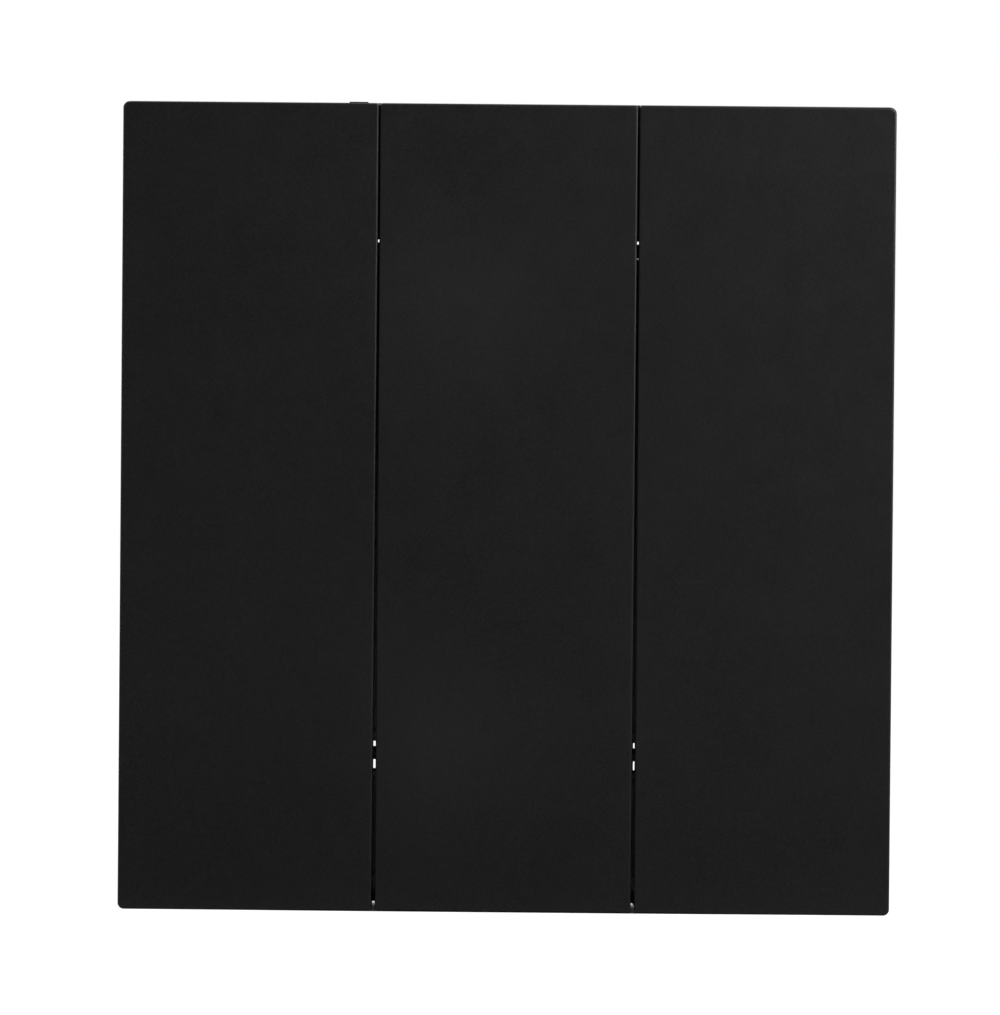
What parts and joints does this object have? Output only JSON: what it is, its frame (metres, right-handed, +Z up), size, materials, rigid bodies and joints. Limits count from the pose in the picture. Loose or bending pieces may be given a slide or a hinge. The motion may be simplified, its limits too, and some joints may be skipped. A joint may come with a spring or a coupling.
{
  "type": "wall plate cover",
  "caption": "Square black wall plate cover with full-height rocking keys on a clip-on frame, sprung plungers behind them and a steel mounting plate with box screws.",
  "frame": {"origin": "middle of the two box screws, in the plane of the wall", "axes": "+X across the plate to the right as seen from the room, +Y into the wall along the box screws, +Z up the plate"},
  "size_m": [0.086, 0.0288, 0.09],
  "materials": {
    "cap": "fine matt moulded black, painted soft",
    "frame": "moulded black, glass filled",
    "carrier": "moulded dark grey",
    "guide": "moulded black, glass filled",
    "plunger": "natural acetal",
    "bumper": "soft grey silicone",
    "rod": "blackened ground rod",
    "steel": "galvanised sheet",
    "screw": "bright zinc",
    "spring": "spring wire"
  },
  "bodies": {
    "base": {"cover_frame": "frame", "guide_plate": "guide", "guide_plate_screws": "screw", "mounting_plate": "steel", "box_screws": "screw", "hinge_rod": "rod", "stop_rod": "rod", "stop_bumpers": "bumper", "left_return_spring": "spring", "middle_return_spring": "spring", "right_return_spring": "spring"},
    "left_key": {"left_key_cap": "cap", "left_key_carrier": "carrier"},
    "middle_key": {"middle_key_cap": "cap", "middle_key_carrier": "carrier"},
    "right_key": {"right_key_cap": "cap", "right_key_carrier": "carrier"},
    "left_plunger": {"left_plunger": "plunger"},
    "middle_plunger": {"middle_plunger": "plunger"},
    "right_plunger": {"right_plunger": "plunger"}
  },
  "joints": [
    {"name": "left_key_hinge", "type": "hinge", "parent": "base", "child": "left_key", "pos_m": [0, -0.0046, 0.0286], "axis": [1, 0, 0], "range_deg": [0, 1.2], "stiffness_Nm_per_rad": 1.8, "springref_deg": -3.44},
    {"name": "middle_key_hinge", "type": "hinge", "parent": "base", "child": "middle_key", "pos_m": [0, -0.0046, 0.0286], "axis": [1, 0, 0], "range_deg": [0, 1.2], "stiffness_Nm_per_rad": 1.8, "springref_deg": -3.44},
    {"name": "right_key_hinge", "type": "hinge", "parent": "base", "child": "right_key", "pos_m": [0, -0.0046, 0.0286], "axis": [1, 0, 0], "range_deg": [0, 1.2], "stiffness_Nm_per_rad": 1.8, "springref_deg": -3.44},
    {"name": "left_plunger_slide", "type": "slide", "parent": "base", "child": "left_plunger", "axis": [0, 1, 0], "range_m": [0, 0.00105], "deforming": ["left_return_spring"]},
    {"name": "middle_plunger_slide", "type": "slide", "parent": "base", "child": "middle_plunger", "axis": [0, 1, 0], "range_m": [0, 0.00105], "deforming": ["middle_return_spring"]},
    {"name": "right_plunger_slide", "type": "slide", "parent": "base", "child": "right_plunger", "axis": [0, 1, 0], "range_m": [0, 0.00105], "deforming": ["right_return_spring"]}
  ],
  "couplings": [
    {"joint": "left_plunger_slide", "follows": "left_key_hinge", "m_per_rad": 0.048},
    {"joint": "middle_plunger_slide", "follows": "middle_key_hinge", "m_per_rad": 0.048},
    {"joint": "right_plunger_slide", "follows": "right_key_hinge", "m_per_rad": 0.048}
  ]
}
